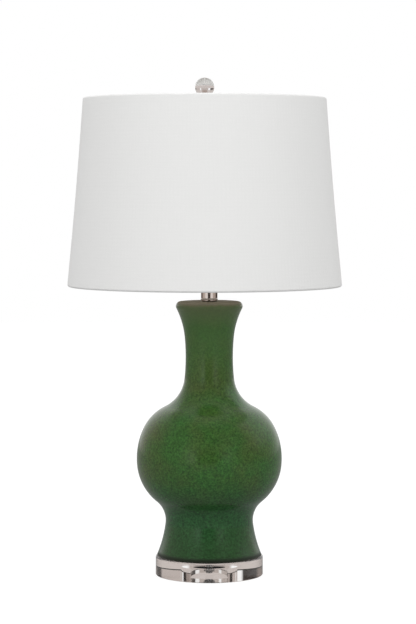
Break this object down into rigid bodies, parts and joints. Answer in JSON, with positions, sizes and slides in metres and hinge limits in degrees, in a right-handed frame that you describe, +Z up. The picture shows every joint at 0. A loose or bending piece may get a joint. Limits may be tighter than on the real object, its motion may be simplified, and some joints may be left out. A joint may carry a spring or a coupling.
{
  "type": "table lamp",
  "caption": "Table lamp with a glazed bottle-shaped vase on a clear disc, a harp, a tapered drum shade and a ball finial.",
  "frame": {"origin": "centre of the clear disc's underside, on the vase's axis, where the lamp stands on the table", "axes": "+Z up; -Y is the front, as pictured; the turn knob points to +X and the cord outlet to +Y"},
  "size_m": [0.4064, 0.4064, 0.738],
  "materials": {
    "clear_acrylic": "polished, clear",
    "green_glaze": "glossy reactive glaze, brown where it thins at the lip",
    "polished_nickel": "polished",
    "nickel_wire": "satin nickel plate",
    "zinc_steel": "zinc plate",
    "black_rubber": "matte",
    "black_phenolic": "moulded gloss",
    "fibre_card": "matte",
    "bare_brass": "bright",
    "bare_aluminium": "drawn",
    "shade_cloth": "fine plain weave, off-white",
    "shade_styrene": "matte white",
    "white_wire": "white enamel",
    "clear_crystal": "polished, clear"
  },
  "bodies": {
    "lamp": {"acrylic_base": "clear_acrylic", "base_washer": "zinc_steel", "base_lock_washer": "zinc_steel", "base_nut": "zinc_steel", "threaded_rod": "zinc_steel", "foot_gasket": "black_rubber", "vase_body": "green_glaze", "cord_bushing": "black_phenolic", "deck_washer": "black_rubber", "neck_ring": "polished_nickel", "neck_tube": "polished_nickel", "neck_cap": "polished_nickel", "harp_saddle": "nickel_wire", "harp": "nickel_wire", "harp_stud": "nickel_wire", "saddle_nut": "zinc_steel", "socket_cap": "polished_nickel", "cap_set_screw": "zinc_steel", "socket_shell": "polished_nickel", "socket_liner": "fibre_card", "socket_body": "black_phenolic", "terminal_screws": "bare_brass", "screw_shell": "bare_aluminium", "centre_contact": "bare_brass"},
    "shade": {"shade_spider": "white_wire", "shade_cover": "shade_cloth", "shade_liner": "shade_styrene", "top_ring": "white_wire", "bottom_ring": "white_wire", "top_trim": "shade_cloth", "bottom_trim": "shade_cloth"},
    "finial": {"finial_base": "polished_nickel", "finial_ball": "clear_crystal"},
    "switch": {"switch_shaft": "bare_brass", "switch_knob": "black_phenolic"},
    "front_sleeve": {"front_ferrule": "nickel_wire"},
    "back_sleeve": {"back_ferrule": "nickel_wire"}
  },
  "joints": [
    {"name": "shade_turn", "type": "hinge", "parent": "lamp", "child": "shade", "pos_m": [-0.0068, 0, 0.6936], "axis": [0, 0, 1], "continuous": true},
    {"name": "finial_turn", "type": "hinge", "parent": "lamp", "child": "finial", "pos_m": [-0.0068, 0, 0.697], "axis": [0, 0, 1], "continuous": true},
    {"name": "switch_knob_turn", "type": "hinge", "parent": "lamp", "child": "switch", "pos_m": [0.03, 0, 0.4646], "axis": [1, 0, 0], "continuous": true},
    {"name": "front_ferrule_slide", "type": "slide", "parent": "lamp", "child": "front_sleeve", "axis": [-0.0268, 0, 0.9996], "range_m": [0, 0.014]},
    {"name": "back_ferrule_slide", "type": "slide", "parent": "lamp", "child": "back_sleeve", "axis": [-0.0268, 0, 0.9996], "range_m": [0, 0.014]}
  ]
}
